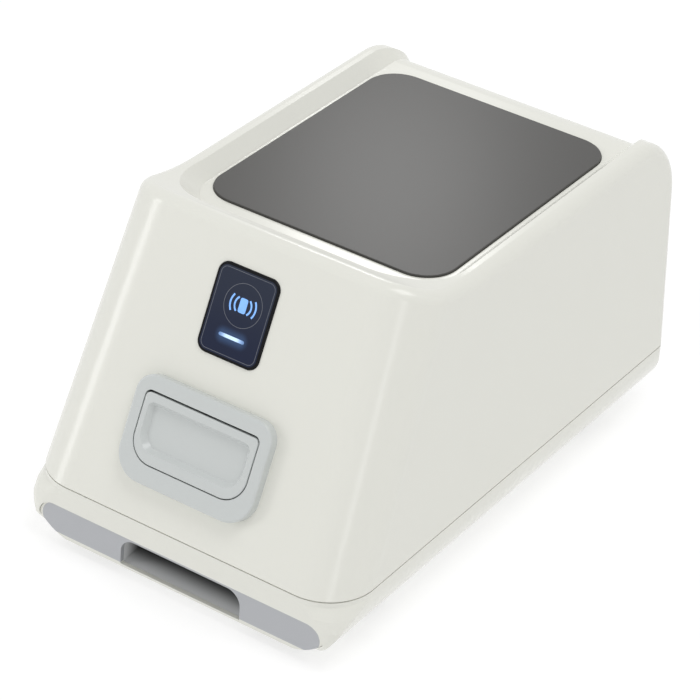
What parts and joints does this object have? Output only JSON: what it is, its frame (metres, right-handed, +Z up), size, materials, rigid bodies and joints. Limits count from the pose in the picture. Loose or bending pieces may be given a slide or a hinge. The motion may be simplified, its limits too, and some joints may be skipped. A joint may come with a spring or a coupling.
{
  "type": "phosphor plate scanner",
  "caption": "Desktop scanner for dental phosphor imaging plates: sloping front with a spring-closed loading door and a display, outlet slot in the base, sunken dark top panel.",
  "frame": {"origin": "bottom centre of the bounding box: on the surface the feet stand on, midway between the sides and midway between front and back", "axes": "+X to the right as seen by a user in front, +Y from the front to the back, +Z up; the sloping front with the door faces -Y"},
  "size_m": [0.168, 0.271, 0.1566],
  "materials": {
    "board": "satin",
    "brass": "satin",
    "cover_white": "satin",
    "display_glass": "gloss",
    "glass": "gloss",
    "inner_black": "matte",
    "insert_grey": "satin",
    "lamp": "gloss",
    "light_grey": "satin",
    "light_pipe": "gloss",
    "mirror": "polished",
    "panel_grey": "matte",
    "rubber": "matte",
    "sheet_metal": "satin",
    "steel": "satin"
  },
  "bodies": {
    "housing": {"upper_housing": "cover_white", "lower_housing": "cover_white", "outlet_bezel": "insert_grey", "outlet_tray": "cover_white", "top_panel": "panel_grey", "display_window": "display_glass", "display_board": "board", "light_bar": "light_pipe", "door_bezel": "light_grey", "door_hinge_pin": "steel", "door_spring": "steel", "feet": "rubber", "housing_screws": "steel", "rear_panel": "inner_black", "rear_panel_screws": "steel", "power_inlet": "inner_black", "data_socket": "sheet_metal", "rocker_frame": "inner_black", "connector_board": "board", "chassis_plate": "sheet_metal", "chassis_screws": "steel", "left_side_frame": "sheet_metal", "right_side_frame": "sheet_metal", "front_guide": "sheet_metal", "rear_guide": "sheet_metal", "roller_bushes": "brass", "timing_belt": "rubber", "motor_bracket": "sheet_metal", "stepper_motor": "inner_black", "optics_housing": "inner_black", "optics_cover": "inner_black", "mirror_motor": "sheet_metal", "laser_module": "brass", "scan_lens": "glass", "light_guide": "glass", "photomultiplier": "inner_black", "photomultiplier_bracket": "inner_black", "erase_holder": "sheet_metal", "erase_board": "board", "erase_lamps": "lamp", "main_board": "board", "board_standoffs": "brass", "board_screws": "steel"},
    "loading_door": {"loading_door": "light_grey"},
    "lower_drive": {"lower_drive_shaft": "steel", "lower_drive_tyres": "rubber", "lower_pulley": "sheet_metal"},
    "upper_drive": {"upper_drive_shaft": "steel", "upper_drive_tyres": "rubber", "upper_pulley": "sheet_metal"},
    "lower_pinch": {"lower_pinch_shaft": "steel", "lower_pinch_tyres": "rubber"},
    "upper_pinch": {"upper_pinch_shaft": "steel", "upper_pinch_tyres": "rubber"},
    "motor_rotor": {"motor_shaft": "steel", "motor_pulley": "sheet_metal"},
    "scan_mirror": {"scan_mirror": "mirror"},
    "power_rocker": {"power_rocker": "inner_black"}
  },
  "joints": [
    {"name": "door_swing", "type": "hinge", "parent": "housing", "child": "loading_door", "pos_m": [-0.003, -0.11593, 0.08421], "axis": [1, 0, 0], "range_deg": [0, 45], "stiffness_Nm_per_rad": 0.01, "deforming": ["door_spring"]},
    {"name": "lower_drive_spin", "type": "hinge", "parent": "housing", "child": "lower_drive", "pos_m": [-0.0005, -0.1029, 0.022], "axis": [1, 0, 0], "continuous": true},
    {"name": "upper_drive_spin", "type": "hinge", "parent": "housing", "child": "upper_drive", "pos_m": [-0.0005, -0.1029, 0.042], "axis": [1, 0, 0], "continuous": true},
    {"name": "lower_pinch_spin", "type": "hinge", "parent": "housing", "child": "lower_pinch", "pos_m": [-0.0005, -0.1147, 0.022], "axis": [1, 0, 0], "continuous": true},
    {"name": "upper_pinch_spin", "type": "hinge", "parent": "housing", "child": "upper_pinch", "pos_m": [-0.0005, -0.1147, 0.042], "axis": [1, 0, 0], "continuous": true},
    {"name": "motor_spin", "type": "hinge", "parent": "housing", "child": "motor_rotor", "pos_m": [-0.0445, -0.0735, 0.036], "axis": [1, 0, 0], "continuous": true},
    {"name": "mirror_spin", "type": "hinge", "parent": "housing", "child": "scan_mirror", "pos_m": [0, 0.0365, 0.032], "axis": [0, 0, 1], "continuous": true},
    {"name": "power_rocker_tilt", "type": "hinge", "parent": "housing", "child": "power_rocker", "pos_m": [0.026, 0.1293, 0.063], "axis": [1, 0, 0], "range_deg": [0, 16]}
  ],
  "couplings": [
    {"joint": "upper_drive_spin", "follows": "lower_drive_spin", "ratio": 1},
    {"joint": "lower_pinch_spin", "follows": "lower_drive_spin", "ratio": -1.2},
    {"joint": "upper_pinch_spin", "follows": "lower_drive_spin", "ratio": -1.2},
    {"joint": "motor_spin", "follows": "lower_drive_spin", "ratio": 1.6}
  ]
}
